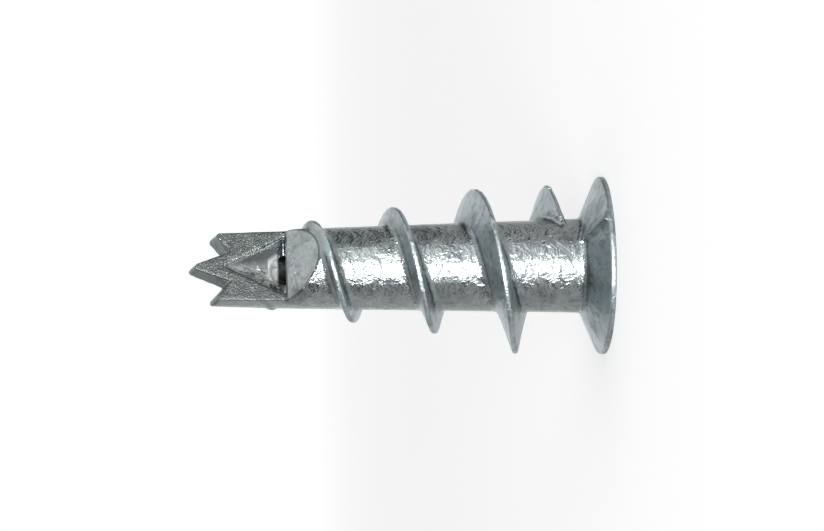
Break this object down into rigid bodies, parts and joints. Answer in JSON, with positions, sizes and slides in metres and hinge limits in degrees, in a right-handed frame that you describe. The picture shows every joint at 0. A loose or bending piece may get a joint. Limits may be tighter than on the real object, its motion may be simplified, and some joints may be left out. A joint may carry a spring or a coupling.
{
  "type": "self-drilling drywall anchor",
  "caption": "One-piece cast zinc self-drilling anchor for plasterboard, with a pronged cut-away tip, a tall growing thread, a flat round head with a cross recess and a hole for a screw",
  "frame": {"origin": "Centre of the head's flat outer face, on the axis", "axes": "+Z runs along the axis from the head to the drill tip; -Y is the way the cut-away flat of the tip faces; +X completes the frame"},
  "size_m": [0.0136, 0.0136, 0.0318],
  "materials": {
    "cast_zinc": "as-cast zinc alloy, matt and finely crinkled on the shank, smoother on the thread flanks and under the head"
  },
  "bodies": {
    "root": {"anchor": "cast_zinc"}
  },
  "joints": []
}
